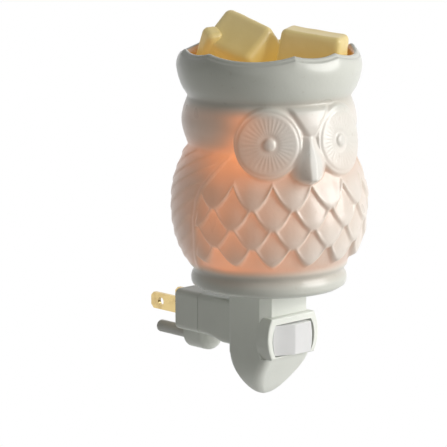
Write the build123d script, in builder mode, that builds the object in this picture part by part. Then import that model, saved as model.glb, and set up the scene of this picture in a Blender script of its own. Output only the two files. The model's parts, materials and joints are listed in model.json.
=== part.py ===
from build123d import *
import os
from math import cos, radians, sin, tan

# Wax melt warmer that plugs into a wall outlet: a glazed ceramic owl stands over a small lamp,
# and the dish in the top of its head holds wax. Millimetres.
# The origin is the centre of the plug's rear face, +Y points into the wall and +Z is up.

# General clearances
moving_gap = 0.3  # between two pieces that move past each other
snug_gap = 0.1  # between two pieces that are fixed together
pin_gap = 0.08  # radial, a turning pin in its hole
overrun = 1.0  # how far a cut runs past the face that it opens

# Where the main pieces stand
wall_to_lamp = 40.6
foot_height = 14.0
face_turn = 18.5  # degrees, the owl looks this far to its right of the switch

# Post: the upright box under the shade
post_width = 24.6
post_front_depth = 10.7
post_rear_depth = 10.3
post_top_height = 12.8
post_bottom_depth = 28.2
post_taper_depth = 11.9  # below the origin, where the sides begin to draw in
post_wall = 2.0
post_front_chamfer = 3.2
post_rear_round = 3.0
post_bottom_round = 3.4
bottom_round_share = 0.46  # at most this much of a section's shorter side
seam_behind_lamp = 3.7

# Drawn-in bottom of the post: down from the taper's start, then across, front to back and back
bottom_drop_shares = (0.0, 0.24, 0.47, 0.71, 0.90, 1.0)
bottom_width_shares = (1.0, 0.985, 0.905, 0.72, 0.45, 0.17)
bottom_depth_shares = (1.0, 0.86, 0.66, 0.45, 0.26, 0.10)
bottom_shift_shares = (0.0, 0.05, 0.11, 0.16, 0.19, 0.20)

# Arm from the post back to the plug head
arm_width = 20.7
arm_top = 7.2
arm_bottom = 8.4
arm_drop = 1.5  # how much deeper the arm is where it meets the post
arm_drop_start = 17.0  # from the wall
arm_drop_end = 25.0
arm_wall = 2.0
arm_round = 2.2
bulkhead = 2.2

# Plug head, which turns in the arm's end
head_length = 12.4
head_round = 2.2
keel_radius = 6.2
keel_drop = 10.6
keel_length = 11.0
keel_round = 3.0
spigot_radius = 3.7
spigot_nose_radius = 2.6
spigot_nose_length = 7.4
clip_thickness = 1.0
clip_radius = 4.8
clip_groove = 0.7
clip_mouth = 4.4
clip_shoulder = 0.6
slip_ring_thickness = 0.7
slip_ring_width = 1.8
slip_ring_pitch = 3.0
slip_ring_margin = 1.1

# Blades and steadying pin, to the usual outlet
blade_width = 6.35
blade_thickness = 1.52
blade_pitch = 12.7
blade_reach = 17.4
blade_root = 8.0
blade_tip_cut = 1.4
blade_hole_radius = 1.6
blade_hole_from_face = 11.9
pin_radius = 2.38
pin_reach = 20.2
pin_drop = 11.9
pin_root = 7.0
pin_neck_radius = 2.0
pin_recess = 0.6  # the pin's hole is wider this deep from the plug's face
pin_neck_reach = 0.6  # the neck shows this much behind the plug's face

# Brushes that press on the slip rings
brush_width = 3.6
brush_thickness = 0.6
brush_tail = 3.0
brush_rib_length = 3.0

# Housing screws
screw_radius = 1.45
screw_head_radius = 2.6
screw_head_height = 1.5
screw_boss_radius = 2.9
screw_offset = 6.4
screw_drop = 16.6
screw_seat = 2.4  # behind the seam
screw_length = 9.6
screw_slot_width = 0.7
screw_slot_depth = 0.8

# Seat plate on the post, with its neck inside the housing
plate_radius = 21.6
plate_thickness = 2.0
neck_depth = 3.6
neck_wall = 1.4
neck_flange = 1.2
neck_flange_reach = 0.9
collar_radius = 12.0
collar_height = 2.4

# Swivel ring that carries the shade
swivel_radius = 23.2
swivel_thickness = 1.7
finger_count = 3
finger_angle = 34.0
finger_thickness = 1.5
finger_height = 4.6

# Lamp holder
holder_flange_radius = 14.4
holder_flange = 1.8
holder_radius = 9.0
holder_lower_radius = 6.2
holder_height = 18.0
holder_depth = 11.0
holder_bore_depth = 21.0
shell_radius = 6.5
shell_wall = 0.4
shell_lip = 1.6
contact_radius = 1.5
contact_head_radius = 2.5
contact_head = 0.7

# Lamp
cap_radius = 5.75
cap_thread_pitch = 2.54
cap_thread_depth = 0.45
cap_length = 15.5
cap_wall = 0.35
tip_radius = 2.4
tip_height = 2.6
lamp_insulator = 1.0
insulator_taper = 30.0  # degrees
glass_radius = 11.0
glass_neck_radius = 4.85
glass_height = 39.0
glass_wall = 0.7
glass_tuck = 3.0
glass_belly_share = 0.42
glass_nose_share = 0.84
glass_nose_radius = 6.8
stem_radius = 3.2
stem_top_radius = 1.1
stem_height = 11.0
lead_radius = 0.3
lead_spread = 4.4
lead_height = 19.0
filament_radius = 0.25
filament_rise = 3.2

# Switch
bezel_width = 26.6
bezel_end_width = 22.4
bezel_height = 15.6
bezel_centre_drop = 3.9
bezel_front = 13.1  # in front of the lamp's axis
bezel_back = 6.5
bezel_edge_round = 0.7
aperture_width = 22.0
aperture_end_width = 18.6
aperture_height = 12.2
aperture_centre_drop = 4.7
aperture_floor = 0.8
rocker_width = 17.2
rocker_end_width = 15.8
rocker_height = 11.4
rocker_crest = 2.6  # how far the crest stands out of the bezel
rocker_face_tilt = 12.0  # degrees, each half of the face leans back
rocker_edge = 1.5
rocker_pivot_depth = 7.0  # behind the crest
rocker_pin_radius = 1.1
rocker_pin_length = 0.7
rocker_waist_width = 10.0
rocker_waist_rise = 0.9
rocker_stem_width = 4.6
rocker_stem_height = 6.0
rocker_stem_reach = 3.6  # behind the pivot
rocker_crest_round = 2.2
window_width = 12.4
window_height = 9.0
frame_width = 15.6
frame_height = 10.0
frame_depth = 8.4
frame_wall = 1.2
plunger_radius = 1.0
plunger_length = 3.0
plunger_reach = 1.1
plunger_round = 0.6
spring_length = 2.4
spring_wall = 0.4
bar_width = 10.6
bar_height = 3.8
bar_thickness = 0.6
bar_tilt = 7.0  # degrees, either way
fulcrum_thickness = 0.8
terminal_height = 3.4
terminal_thickness = 0.8
terminal_offset = 4.7
terminal_tail = 3.2
terminal_pad = 1.6

# Wires inside the housing
wire_radius = 0.9
wire_bend = 2.0
wire_rise_gap = 4.8  # from the brushes' ends to where the live wire turns down
wire_side_gap = 2.2
wire_socket_z = 3.6
wire_socket_depth = 4.4  # into the holder's side
lamp_wire_gap = 2.7

# Shade: the owl. Heights are above its foot, radii from its axis
foot_radius = 29.1
foot_bulge_height = 2.8
foot_bottom_radius = 27.4
pinch_radius = 28.1
pinch_height = 6.1
belly_low_radius = 33.6
belly_low_height = 15.4
belly_radius = 36.6
belly_mid_height = 31.0
belly_high_radius = 34.7
belly_high_height = 43.0
neck_crease_radius = 29.9
neck_crease_height = 53.0
brow_radius = 32.6
brow_height = 62.4
head_crease_radius = 30.2
head_crease_height = 71.6
band_radius = 34.3
band_height = 83.6
lip_outer_radius = 32.6
lip_inner_radius = 29.5
lip_height = 89.6
shade_wall = 3.4
dish_floor_height = 66.2
dish_floor_radius = 20.0
dish_turn_radius = 26.4
dish_turn_height = 71.4
dish_wall_radius = 30.1
dish_wall_height = 83.0
dish_floor_thickness = 3.6
ceiling_rim_radius = 27.7
ceiling_rim_height = 68.9
ledge_hole_radius = 19.2
ledge_thickness = 3.4
foot_bore_radius = 24.0

# Shade: scallops of its lip, in pairs of one wide and one narrow
scallop_pairs = 4
scallop_offset = 6.0  # degrees, the narrow one in front stands this far off the face
wide_scallop_angle = 60.0
wide_scallop_depth = 1.9
narrow_scallop_depth = 1.5

# Shade: eyes, beak and wings
eye_angle = 27.0
eye_height = 57.8
eye_radius = 13.4
eye_low_radius = 34.9
eye_mid_radius = 34.2
eye_high_radius = 31.7
eye_ring_width = 1.7
eye_ring_depth = 0.7
pupil_radius = 2.4
pupil_rise = 0.7
beak_top_height = 58.5
beak_tip_height = 42.8
beak_width = 7.0
beak_root_radius = 31.5
beak_tip_radius = 38.4
beak_thickness = 3.4
wing_angle = 102.0
wing_height = 31.5
wing_half_height = 20.5
wing_half_width = 17.0
wing_rise = 0.5

# Wax melts: each is width, height and thickness, then where its middle stands in the dish as
# (right, away, above the dish's floor) for someone who faces the heap, then its lean, roll and yaw
heap_turn = 44.0  # degrees, the heap faces this far to the right of the switch
melt_round = 1.5
melt_draft = 3.0  # degrees
tall_melt_size = (24.1, 12.9, 17.0)
tall_melt_place = (-7.8, 5.0, 25.1)
tall_melt_angles = (41.7, -37.2, -16.1)
slab_melt_size = (24.9, 14.0, 16.5)
slab_melt_place = (16.0, -5.5, 21.5)
slab_melt_angles = (85.4, -18.8, 6.2)
small_melt_size = (7.0, 8.0, 17.0)
small_melt_place = (-22.0, -1.0, 19.7)
small_melt_angles = (88.0, 10.0, 0.0)
back_melt_size = (11.0, 9.0, 13.2)
back_melt_place = (8.0, 15.0, 17.5)
back_melt_angles = (90.0, 45.0, 0.0)
low_melt_size = (17.0, 17.0, 10.4)
low_melt_angles = (-90.0, 0.0, 0.0)
low_melt_spacing = 18.4

# Worked out from the sizes above
lamp_y = -wall_to_lamp
seam_y = lamp_y + seam_behind_lamp
post_depth = post_front_depth + post_rear_depth
post_mid_y = lamp_y - (post_front_depth - post_rear_depth) / 2
post_front_y = lamp_y - post_front_depth
post_rear_y = lamp_y + post_rear_depth
arm_end_y = -(head_length + moving_gap)
bulkhead_y = arm_end_y - bulkhead
clip_y = bulkhead_y - moving_gap
spigot_end_y = clip_y - clip_thickness - clip_shoulder
nose_end_y = spigot_end_y - spigot_nose_length
ring_outer = spigot_nose_radius + slip_ring_thickness
brush_inner = ring_outer + moving_gap
brush_outer = brush_inner + brush_thickness
brush_front_y = nose_end_y - brush_tail
plate_bottom = post_top_height
plate_top = plate_bottom + plate_thickness
collar_top = plate_top + collar_height
swivel_bottom = plate_top + moving_gap
swivel_top = swivel_bottom + swivel_thickness
ledge_bottom = swivel_top + moving_gap
finger_radius = ledge_hole_radius - moving_gap
holder_top = collar_top + holder_height
holder_bottom = post_top_height - holder_depth
bore_bottom = holder_top - holder_bore_depth
shell_inner_radius = shell_radius - shell_wall
contact_top = bore_bottom + contact_head
lamp_bottom = contact_top + snug_gap
cap_bottom = lamp_bottom + tip_height
cap_top = cap_bottom + cap_length
glass_bottom = cap_top - glass_tuck
glass_top = cap_top + glass_height
bezel_front_y = lamp_y - bezel_front
bezel_back_y = lamp_y - bezel_back
aperture_floor_y = bezel_back_y - aperture_floor
crest_y = bezel_front_y - rocker_crest
rocker_pivot_y = crest_y + rocker_pivot_depth
frame_rear_y = bezel_back_y + frame_depth
frame_floor_y = frame_rear_y - frame_wall
terminal_end_y = frame_rear_y + terminal_tail
plunger_tip_y = rocker_pivot_y + rocker_stem_reach + plunger_reach
bar_pivot_y = plunger_tip_y + moving_gap + bar_thickness
switch_z = -aperture_centre_drop
pad_front_y = bar_pivot_y + (terminal_offset + terminal_pad / 2) * tan(radians(bar_tilt)) + pin_gap
rocker_across = (cos(radians(rocker_face_tilt)), -sin(radians(rocker_face_tilt)), 0)
rocker_out = (-sin(radians(rocker_face_tilt)), -cos(radians(rocker_face_tilt)), 0)
rocker_level = Plane(origin=(0, rocker_pivot_y, switch_z), x_dir=rocker_across, z_dir=(0, 0, 1))
rocker_front = Plane(origin=(0, rocker_pivot_y, switch_z), x_dir=rocker_across, z_dir=rocker_out)
plunger_bore = plunger_length - plunger_reach + spring_length
bar_across = (cos(radians(bar_tilt)), sin(radians(bar_tilt)), 0)
bar_plane = Plane(origin=(0, bar_pivot_y, switch_z), x_dir=bar_across, z_dir=(0, 0, 1))
brush_z = (brush_inner + brush_outer) / 2
wire_socket_y = lamp_y + holder_lower_radius - wire_socket_depth
ledge_low = ledge_bottom - foot_height
ledge_high = ledge_low + ledge_thickness
ceiling_height = dish_floor_height - dish_floor_thickness
heap_right = (cos(radians(heap_turn)), -sin(radians(heap_turn)))
heap_away = (sin(radians(heap_turn)), cos(radians(heap_turn)))
dish_floor_z = foot_height + dish_floor_height
dish_cut_top = foot_height + lip_height + overrun

lamp_axis = Axis((0, lamp_y, 0), (0, 0, 1))
lamp_section = Plane(origin=(0, lamp_y, 0), x_dir=(1, 0, 0), z_dir=(0, -1, 0))

os.makedirs("parts", exist_ok=True)


def level(height):
    """Horizontal plane at a height, centred on the lamp's axis."""
    return Plane(origin=(0, lamp_y, height), x_dir=(1, 0, 0), z_dir=(0, 0, 1))


def upright(y, z=0):
    """Vertical plane parallel to the wall, with its normal towards the room."""
    return Plane(origin=(0, y, z), x_dir=(1, 0, 0), z_dir=(0, -1, 0))


def outward(angle, height, radius):
    """Plane on the shade that faces out, at an angle from the owl's face."""
    turn = radians(angle - face_turn)
    away = (sin(turn), -cos(turn), 0)
    along = (cos(turn), sin(turn), 0)
    place = (radius * away[0], lamp_y + radius * away[1], foot_height + height)
    return Plane(origin=place, x_dir=along, z_dir=away)


def save(builder, name):
    builder.part.label = name
    export_step(builder.part, f"parts/{name}.step")


def post_plan(inset):
    """Plan of the post's straight part in the open sketch, drawn in by the inset."""
    front = post_front_y + inset
    rear = post_rear_y - inset
    with Locations((0, (front + rear) / 2)):
        Rectangle(post_width - 2 * inset, rear - front)
    fillet(vertices().group_by(Axis.Y)[-1], post_rear_round - inset / 2)
    chamfer(vertices().group_by(Axis.Y)[0], post_front_chamfer - inset / 2)


def post_solid(inset):
    """The post, or its hollow when the inset is the wall."""
    with BuildPart() as post:
        with BuildSketch(Plane.XY.offset(-post_taper_depth)):
            post_plan(inset)
        extrude(amount=post_top_height + post_taper_depth)
        shares = zip(bottom_drop_shares, bottom_width_shares, bottom_depth_shares, bottom_shift_shares)
        for drop, wide, deep, shift in shares:
            fall = (post_bottom_depth - post_taper_depth - inset) * drop
            width = post_width * wide - 2 * inset
            depth = post_depth * deep - 2 * inset
            if depth > inset:
                corner = min(post_bottom_round, bottom_round_share * min(width, depth))
                with BuildSketch(Plane.XY.offset(-post_taper_depth - fall)):
                    with Locations((0, post_mid_y + post_front_depth * shift)):
                        RectangleRounded(width, depth, corner)
        loft()
    return post.part


def barrel(width, end_width, height):
    """Outline with flat top and bottom and bulged ends, drawn in the open sketch."""
    with BuildLine() as outline:
        Line((-end_width / 2, height / 2), (end_width / 2, height / 2))
        ThreePointArc((end_width / 2, height / 2), (width / 2, 0), (end_width / 2, -height / 2))
        Line((end_width / 2, -height / 2), (-end_width / 2, -height / 2))
        ThreePointArc((-end_width / 2, -height / 2), (-width / 2, 0), (-end_width / 2, height / 2))
    make_face(outline.edges())


def housing_bosses(face, reach, hole_radius):
    """Screw bosses from the seam to a wall, as far as the post reaches, with their holes."""
    with BuildPart() as bosses:
        with BuildSketch(face):
            with Locations(*screw_places):
                Circle(screw_boss_radius)
                Circle(hole_radius, mode=Mode.SUBTRACT)
        extrude(amount=reach)
        add(post_solid(snug_gap), mode=Mode.INTERSECT)
    return bosses.part


# Housing before it is parted: post, arm and their hollow
with BuildPart() as housing:
    add(post_solid(0))
    with BuildSketch(Plane.YZ.offset(-arm_width / 2)):
        with BuildLine():
            Polyline(
                (arm_end_y, arm_top),
                (arm_end_y, -arm_bottom),
                (-arm_drop_start, -arm_bottom),
                (-arm_drop_end, -arm_bottom - arm_drop),
                (post_mid_y, -arm_bottom - arm_drop),
                (post_mid_y, arm_top),
                close=True,
            )
        make_face()
    extrude(amount=arm_width)
    long_edges = edges().filter_by_position(Axis.Y, post_rear_y + overrun, 0, (False, True))
    fillet(long_edges.filter_by(lambda edge: abs(edge.tangent_at(0.5).Y) > cos(radians(30))), arm_round)
    add(post_solid(post_wall), mode=Mode.SUBTRACT)
    with BuildSketch(Plane.YZ.offset(-arm_width / 2 + arm_wall)):
        with BuildLine():
            Polyline(
                (bulkhead_y, arm_top - arm_wall),
                (bulkhead_y, -arm_bottom + arm_wall),
                (-arm_drop_start, -arm_bottom + arm_wall),
                (-arm_drop_end, -arm_bottom - arm_drop + arm_wall),
                (post_mid_y, -arm_bottom - arm_drop + arm_wall),
                (post_mid_y, arm_top - arm_wall),
                close=True,
            )
        make_face()
    extrude(amount=arm_width - 2 * arm_wall, mode=Mode.SUBTRACT)
    with BuildSketch(upright(arm_end_y + overrun)):
        Circle(spigot_radius + pin_gap)
    extrude(amount=bulkhead + 2 * overrun, mode=Mode.SUBTRACT)
    with BuildSketch(Plane.XY.offset(plate_bottom - neck_depth)):
        post_plan(post_wall - neck_flange_reach)
    extrude(amount=neck_flange, mode=Mode.SUBTRACT)

screw_places = [(-screw_offset, -screw_drop), (screw_offset, -screw_drop)]
seam_plane = upright(seam_y)

# Front half of the housing, open for the switch
with BuildPart() as housing_front:
    add(housing.part)
    split(bisect_by=seam_plane, keep=Keep.TOP)
    add(housing_bosses(seam_plane, post_front_depth, screw_radius + pin_gap / 2))
    with BuildSketch(upright(bezel_back_y, -bezel_centre_drop)):
        barrel(bezel_width + 2 * snug_gap, bezel_end_width + 2 * snug_gap, bezel_height + 2 * snug_gap)
    extrude(amount=bezel_front, mode=Mode.SUBTRACT)
save(housing_front, "housing_front")

# Rear half of the housing, with the arm and the ribs behind the brushes
with BuildPart() as housing_rear:
    add(housing.part)
    split(bisect_by=seam_plane, keep=Keep.BOTTOM)
    add(housing_bosses(seam_plane, -post_rear_depth, screw_radius + moving_gap))
    with BuildSketch(upright(seam_y + screw_seat)):
        with Locations(*screw_places):
            Circle(screw_head_radius + snug_gap)
    extrude(amount=-post_rear_depth, mode=Mode.SUBTRACT)
    with BuildSketch(upright(brush_front_y + brush_rib_length)):
        with Locations((0, (brush_outer + arm_top - arm_wall / 2) / 2)):
            Rectangle(brush_width, arm_top - arm_wall / 2 - brush_outer)
        with Locations((0, -(brush_outer + arm_bottom - arm_wall / 2) / 2)):
            Rectangle(brush_width, arm_bottom - arm_wall / 2 - brush_outer)
    extrude(amount=brush_rib_length)
save(housing_rear, "housing_rear")

# Screws that hold the halves together, put in from behind
with BuildPart() as housing_screws:
    with BuildSketch(upright(seam_y + screw_seat)):
        with Locations(*screw_places):
            Circle(screw_radius)
    extrude(amount=screw_length)
    with BuildSketch(upright(seam_y + screw_seat)):
        with Locations(*screw_places):
            Circle(screw_head_radius)
    extrude(amount=-screw_head_height)
    with BuildSketch(upright(seam_y + screw_seat + screw_head_height)):
        with Locations(*screw_places):
            Rectangle(2 * screw_head_radius, screw_slot_width)
            Rectangle(screw_slot_width, 2 * screw_head_radius)
    extrude(amount=screw_slot_depth, mode=Mode.SUBTRACT)
save(housing_screws, "housing_screws")

# Plug head: a block with a keel round the steadying pin, and a spigot that turns in the bulkhead
with BuildPart() as plug_head:
    with BuildSketch(upright(0, (arm_top - arm_bottom) / 2)):
        RectangleRounded(arm_width, arm_top + arm_bottom, head_round)
    extrude(amount=head_length)
    with BuildSketch(upright(0)):
        with Locations((0, -keel_drop)):
            Circle(keel_radius)
        with Locations((0, -keel_drop / 2)):
            Rectangle(2 * keel_radius, keel_drop)
    extrude(amount=keel_length)
    fillet(faces().sort_by(Axis.Z)[0].edges().sort_by(Axis.Y)[0], keel_round)
    with BuildSketch(upright(-head_length)):
        Circle(spigot_radius)
    extrude(amount=-spigot_end_y - head_length)
    with BuildSketch(upright(spigot_end_y)):
        Circle(spigot_nose_radius)
    extrude(amount=spigot_nose_length)
    with BuildSketch(upright(clip_y)):
        Circle(spigot_radius + overrun)
        Circle(spigot_radius - clip_groove, mode=Mode.SUBTRACT)
    extrude(amount=clip_thickness, mode=Mode.SUBTRACT)
    with BuildSketch(upright(overrun)):
        with GridLocations(blade_pitch, 1, 2, 1):
            Rectangle(blade_thickness, blade_width)
    extrude(amount=blade_root + overrun, mode=Mode.SUBTRACT)
    with BuildSketch(upright(overrun, -pin_drop)):
        Circle(pin_neck_radius + pin_gap / 2)
    extrude(amount=pin_root + overrun, mode=Mode.SUBTRACT)
    with BuildSketch(upright(overrun, -pin_drop)):
        Circle(pin_radius + pin_gap / 2)
    extrude(amount=pin_recess + overrun, mode=Mode.SUBTRACT)
save(plug_head, "plug_head")

# Blades, with the usual hole near the tip
with BuildPart() as plug_blades:
    with BuildSketch(upright(blade_reach)):
        with GridLocations(blade_pitch, 1, 2, 1):
            Rectangle(blade_thickness, blade_width)
    extrude(amount=blade_reach + blade_root)
    tip_edges = faces().group_by(Axis.Y)[-1].edges().filter_by(Axis.X)
    chamfer(tip_edges, blade_tip_cut)
    with BuildSketch(Plane.YZ.offset(-blade_pitch)):
        with Locations((blade_hole_from_face, 0)):
            Circle(blade_hole_radius)
    extrude(amount=2 * blade_pitch, mode=Mode.SUBTRACT)
save(plug_blades, "plug_blades")

# Third pin, which steadies the plug in the outlet
with BuildPart() as plug_steady_pin:
    with BuildSketch(upright(pin_reach, -pin_drop)):
        Circle(pin_radius)
    extrude(amount=pin_reach - pin_neck_reach)
    with BuildSketch(upright(pin_neck_reach, -pin_drop)):
        Circle(pin_neck_radius)
    extrude(amount=pin_neck_reach + pin_root)
    fillet(faces().sort_by(Axis.Y)[-1].edges(), pin_radius / 2)
save(plug_steady_pin, "plug_steady_pin")

# Open ring that snaps into the spigot's groove behind the bulkhead
with BuildPart() as plug_clip:
    with BuildSketch(upright(clip_y)):
        Circle(clip_radius)
        Circle(spigot_radius - clip_groove + pin_gap / 2, mode=Mode.SUBTRACT)
        with Locations((0, -clip_radius)):
            Rectangle(clip_mouth, 2 * clip_radius, mode=Mode.SUBTRACT)
    extrude(amount=clip_thickness)
save(plug_clip, "plug_clip")

# Two rings on the spigot's nose, one for each blade
with BuildPart() as slip_rings:
    for step in range(2):
        with BuildSketch(upright(spigot_end_y - slip_ring_margin - step * slip_ring_pitch)):
            Circle(ring_outer)
            Circle(spigot_nose_radius + pin_gap / 4, mode=Mode.SUBTRACT)
        extrude(amount=slip_ring_width)
save(slip_rings, "slip_rings")

# Flat brushes above and below the rings, which run on to the wires
with BuildPart() as plug_brushes:
    with BuildSketch(upright(spigot_end_y - slip_ring_margin)):
        with Locations((0, (brush_inner + brush_outer) / 2), (0, -(brush_inner + brush_outer) / 2)):
            Rectangle(brush_width, brush_thickness)
    extrude(amount=spigot_end_y - slip_ring_margin - brush_front_y)
save(plug_brushes, "plug_brushes")

# Seat plate: a disc with a collar above, and a neck that the halves of the housing close on
with BuildPart() as seat_plate:
    with BuildSketch(level(plate_bottom)):
        Circle(plate_radius)
    extrude(amount=plate_thickness)
    with BuildSketch(level(plate_top)):
        Circle(collar_radius)
    extrude(amount=collar_height)
    with BuildSketch(Plane.XY.offset(plate_bottom - neck_depth)):
        post_plan(post_wall + snug_gap)
    extrude(amount=neck_depth)
    with BuildSketch(Plane.XY.offset(plate_bottom - neck_depth)):
        post_plan(post_wall - neck_flange_reach + snug_gap)
    extrude(amount=neck_flange)
    with BuildSketch(Plane.XY.offset(plate_bottom - neck_depth)):
        post_plan(post_wall + snug_gap + neck_wall)
    extrude(amount=neck_depth, mode=Mode.SUBTRACT)
    with BuildSketch(level(plate_bottom)):
        Circle(holder_radius + snug_gap)
    extrude(amount=plate_thickness + collar_height, mode=Mode.SUBTRACT)
save(seat_plate, "seat_plate")

# Swivel ring: turns round the collar under the holder's flange, and its fingers centre the shade
with BuildPart() as swivel_ring:
    with BuildSketch(level(swivel_bottom)):
        Circle(swivel_radius)
        Circle(collar_radius + moving_gap, mode=Mode.SUBTRACT)
    extrude(amount=swivel_thickness)
    with BuildSketch(level(swivel_top)):
        Circle(finger_radius)
        Circle(finger_radius - finger_thickness, mode=Mode.SUBTRACT)
        between = radians(180 / finger_count - finger_angle / 2)
        reach = 2 * finger_radius
        with PolarLocations(0, finger_count):
            wedge = ((0, 0), (reach, -reach * tan(between)), (reach, reach * tan(between)))
            Polygon(*wedge, align=None, mode=Mode.SUBTRACT)
    extrude(amount=finger_height)
save(swivel_ring, "swivel_ring")

# Lamp holder: a flanged body on the collar
with BuildPart() as lamp_holder:
    with BuildSketch(lamp_section):
        with BuildLine():
            Polyline(
                (0, holder_bottom),
                (holder_lower_radius, holder_bottom),
                (holder_lower_radius, plate_bottom),
                (holder_radius, plate_bottom),
                (holder_radius, collar_top),
                (holder_flange_radius, collar_top),
                (holder_flange_radius, collar_top + holder_flange),
                (holder_radius, collar_top + holder_flange),
                (holder_radius, holder_top),
                (shell_radius + pin_gap / 2, holder_top),
                (shell_radius + pin_gap / 2, bore_bottom),
                (contact_radius + pin_gap / 2, bore_bottom),
                (contact_radius + pin_gap / 2, holder_bottom + contact_head),
                (0, holder_bottom + contact_head),
                close=True,
            )
        make_face()
    revolve(axis=lamp_axis)
    with BuildSketch(upright(wire_socket_y, wire_socket_z)):
        with Locations((-terminal_offset, 0), (terminal_offset, 0)):
            Circle(wire_radius + pin_gap / 2)
    extrude(amount=-holder_radius, mode=Mode.SUBTRACT)
save(lamp_holder, "lamp_holder")

# Screw shell in the holder, and the contact in its middle
with BuildPart() as holder_shell:
    with BuildSketch(level(bore_bottom)):
        Circle(shell_radius)
        Circle(shell_inner_radius, mode=Mode.SUBTRACT)
    extrude(amount=holder_bore_depth - snug_gap)
    with BuildSketch(level(bore_bottom)):
        Circle(shell_radius)
        Circle(shell_radius - shell_lip, mode=Mode.SUBTRACT)
    extrude(amount=shell_wall)
save(holder_shell, "holder_shell")

with BuildPart() as holder_contact:
    with BuildSketch(level(bore_bottom)):
        Circle(contact_head_radius)
    extrude(amount=contact_head)
    with BuildSketch(level(bore_bottom)):
        Circle(contact_radius)
    extrude(amount=holder_bottom + contact_head - bore_bottom)
save(holder_contact, "holder_contact")

# Lamp: cap with its thread, then the tip, the glass and what stands inside it
thread_count = int(cap_length / cap_thread_pitch)
with BuildPart() as lamp_cap:
    with BuildSketch(level(cap_bottom)):
        Circle(cap_radius - cap_thread_depth)
    extrude(amount=cap_length)
    for turn in range(thread_count):
        middle = cap_bottom + cap_thread_pitch / 2 + turn * cap_thread_pitch
        with BuildSketch(lamp_section):
            with BuildLine():
                root = cap_radius - cap_thread_depth
                lower = (root, middle - cap_thread_pitch / 3)
                upper = (root, middle + cap_thread_pitch / 3)
                Line(lower, upper)
                ThreePointArc(upper, (cap_radius, middle), lower)
            make_face()
        revolve(axis=lamp_axis)
    with BuildSketch(level(cap_bottom + cap_wall)):
        Circle(cap_radius - cap_thread_depth - cap_wall)
    extrude(amount=cap_length, mode=Mode.SUBTRACT)
save(lamp_cap, "lamp_cap")

with BuildPart() as lamp_tip:
    with BuildSketch(level(lamp_bottom)):
        Circle(tip_radius)
    extrude(amount=tip_height - lamp_insulator)
    fillet(faces().sort_by(Axis.Z)[0].edges(), tip_radius / 3)
    with BuildSketch(level(cap_bottom)):
        Circle(cap_radius - cap_thread_depth)
    extrude(amount=-lamp_insulator, taper=insulator_taper)
save(lamp_tip, "lamp_tip")


def glass_outline(inset):
    """Half the lamp's glass, seen from the side, drawn in by the inset."""
    neck = glass_neck_radius - inset
    belly = (glass_radius - inset, cap_top + glass_belly_share * glass_height)
    nose = (glass_nose_radius - inset, cap_top + glass_nose_share * glass_height)
    tip = (0, glass_top - inset)
    with BuildLine() as outline:
        Line((0, glass_bottom + inset), (neck, glass_bottom + inset))
        Line((neck, glass_bottom + inset), (neck, cap_top))
        Spline((neck, cap_top), belly, nose, tip, tangents=((0, 1), (-1, 0)))
        Line(tip, (0, glass_bottom + inset))
    make_face(outline.edges())


with BuildPart() as lamp_glass:
    with BuildSketch(lamp_section):
        glass_outline(0)
    revolve(axis=lamp_axis)
    with BuildSketch(lamp_section):
        glass_outline(glass_wall)
    revolve(axis=lamp_axis, mode=Mode.SUBTRACT)
save(lamp_glass, "lamp_glass")

stem_bottom = glass_bottom + glass_wall
with BuildPart() as lamp_stem:
    with BuildSketch(lamp_section):
        with BuildLine():
            Polyline(
                (0, stem_bottom),
                (stem_radius, stem_bottom),
                (stem_top_radius, stem_bottom + stem_height),
                (0, stem_bottom + stem_height),
                close=True,
            )
        make_face()
    revolve(axis=lamp_axis)
save(lamp_stem, "lamp_stem")

lead_bottom = stem_bottom + stem_height
lead_top = stem_bottom + lead_height
with BuildPart() as lamp_leads:
    for side in (-1, 1):
        foot_point = Vector(side * stem_top_radius / 2, lamp_y, lead_bottom + lead_radius / 2)
        top_point = Vector(side * lead_spread, lamp_y, lead_top)
        with BuildSketch(Plane(origin=foot_point, z_dir=top_point - foot_point)):
            Circle(lead_radius)
        extrude(amount=(top_point - foot_point).length)
save(lamp_leads, "lamp_leads")

with BuildPart() as lamp_filament:
    with BuildLine() as loop:
        ThreePointArc(
            (-lead_spread, lamp_y, lead_top + lead_radius),
            (0, lamp_y, lead_top + filament_rise),
            (lead_spread, lamp_y, lead_top + lead_radius),
        )
    with BuildSketch(Plane(origin=loop.line @ 0, z_dir=loop.line % 0)):
        Circle(filament_radius)
    sweep()
save(lamp_filament, "lamp_filament")

# Switch bezel: a raised frame in the front of the post, which holds the rocker's pins
with BuildPart() as switch_bezel:
    with BuildSketch(upright(bezel_back_y, -bezel_centre_drop)):
        barrel(bezel_width, bezel_end_width, bezel_height)
    extrude(amount=bezel_front - bezel_back)
    fillet(faces().sort_by(Axis.Y)[0].edges(), bezel_edge_round)
    with BuildSketch(upright(aperture_floor_y, switch_z)):
        barrel(aperture_width, aperture_end_width, aperture_height)
    extrude(amount=bezel_front, mode=Mode.SUBTRACT)
    with BuildSketch(upright(bezel_back_y + overrun, switch_z)):
        Rectangle(window_width, window_height)
    extrude(amount=aperture_floor + 2 * overrun, mode=Mode.SUBTRACT)
    with BuildSketch(Plane(origin=(0, rocker_pivot_y, switch_z), z_dir=(0, 0, 1))):
        Circle(rocker_pin_radius + pin_gap)
    extrude(amount=rocker_height / 2 + rocker_pin_length + moving_gap, both=True, mode=Mode.SUBTRACT)
save(switch_bezel, "switch_bezel")

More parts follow.
